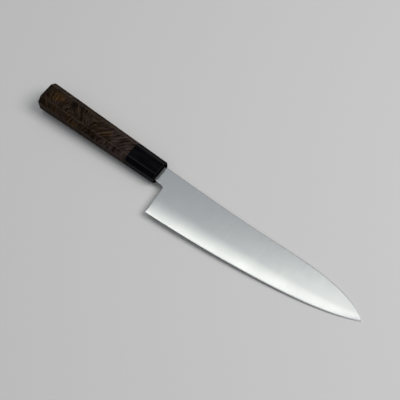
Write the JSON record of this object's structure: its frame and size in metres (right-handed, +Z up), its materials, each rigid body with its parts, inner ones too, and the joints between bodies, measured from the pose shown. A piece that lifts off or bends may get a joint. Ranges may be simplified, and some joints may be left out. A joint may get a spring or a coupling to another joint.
{
  "type": "chef knife",
  "caption": "Chef's knife with a wide curved satin steel blade, a black octagonal ferrule and a tapered octagonal figured wood handle; lies on its left side.",
  "frame": {"origin": "centre of the bounding box's bottom, on the surface that the knife lies on", "axes": "+X along the handle towards the blade's point, +Y towards the spine, +Z up out of the blade's right face; the point is tipped down about 2 degrees, because the knife rests on the ferrule's lower front edge and its point"},
  "size_m": [0.3556, 0.0508, 0.0238],
  "materials": {
    "blade_steel": "satin",
    "ferrule_horn": "satin",
    "handle_wood": "satin",
    "dowel_wood": "matte",
    "adhesive": "matte",
    "seal": "gloss"
  },
  "bodies": {
    "root": {"blade": "blade_steel", "ferrule": "ferrule_horn", "handle_body": "handle_wood", "dowel": "dowel_wood", "tang_bedding": "adhesive", "mouth_seal": "seal"}
  },
  "joints": []
}
